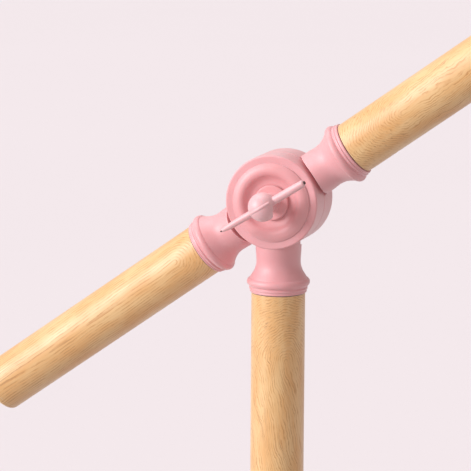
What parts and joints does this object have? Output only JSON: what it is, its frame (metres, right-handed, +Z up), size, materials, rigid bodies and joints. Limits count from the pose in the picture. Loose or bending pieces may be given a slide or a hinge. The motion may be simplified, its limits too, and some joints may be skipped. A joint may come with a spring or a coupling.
{
  "type": "locking swivel tube joint",
  "caption": "Swivel joint that clamps a straight wood-look boom to an upright tube, with a pink two-part hub, turned collars and a tee knob.",
  "frame": {"origin": "centre of the post tube's open lower end", "axes": "+Z up the post, Y along the swivel axis with the knob at -Y, +X towards the long arm"},
  "size_m": [0.2615, 0.0491, 0.2247],
  "materials": {
    "pink_moulding": "satin moulded plastic",
    "pink_enamel": "satin enamel on cast and turned metal",
    "wood_print": "semi-gloss printed wood-grain wrap",
    "tube_steel": "drawn, bare inside",
    "plated_steel": "zinc plated",
    "friction_fibre": "matte pressed fibre",
    "dark_plug": "matte"
  },
  "bodies": {
    "root": {"post_tube": "tube_steel", "post_wrap": "wood_print", "front_hub": "pink_moulding", "front_cover": "pink_moulding", "friction_disc": "friction_fibre", "post_tube_screw": "plated_steel"},
    "boom": {"rear_hub": "pink_moulding", "rear_cover": "pink_moulding", "pivot_sleeve": "plated_steel", "clamp_nut": "plated_steel", "arm_tube": "tube_steel", "arm_wrap": "wood_print", "tail_tube": "tube_steel", "tail_wrap": "wood_print", "tail_cap": "wood_print", "boom_tube_screws": "plated_steel"},
    "clamp_washers": {"thrust_washer": "plated_steel", "spring_washer": "plated_steel"},
    "knob": {"knob_boss": "pink_moulding", "knob_ball": "pink_enamel", "tee_bar": "pink_enamel", "bar_end_plugs": "dark_plug", "clamp_screw": "plated_steel"}
  },
  "joints": [
    {"name": "boom_tilt", "type": "hinge", "parent": "root", "child": "boom", "pos_m": [0, 0, 0.138], "axis": [0, -1, 0], "range_deg": [-71.3, 0.5]},
    {"name": "knob_travel", "type": "slide", "parent": "root", "child": "clamp_washers", "axis": [0, -1, 0], "range_m": [0, 0.002]},
    {"name": "knob_turn", "type": "hinge", "parent": "clamp_washers", "child": "knob", "pos_m": [0, -0.0262, 0.138], "axis": [0, -1, 0], "range_deg": [0, 720]}
  ],
  "couplings": [
    {"joint": "knob_turn", "follows": "knob_travel", "rad_per_m": 6283.2}
  ]
}
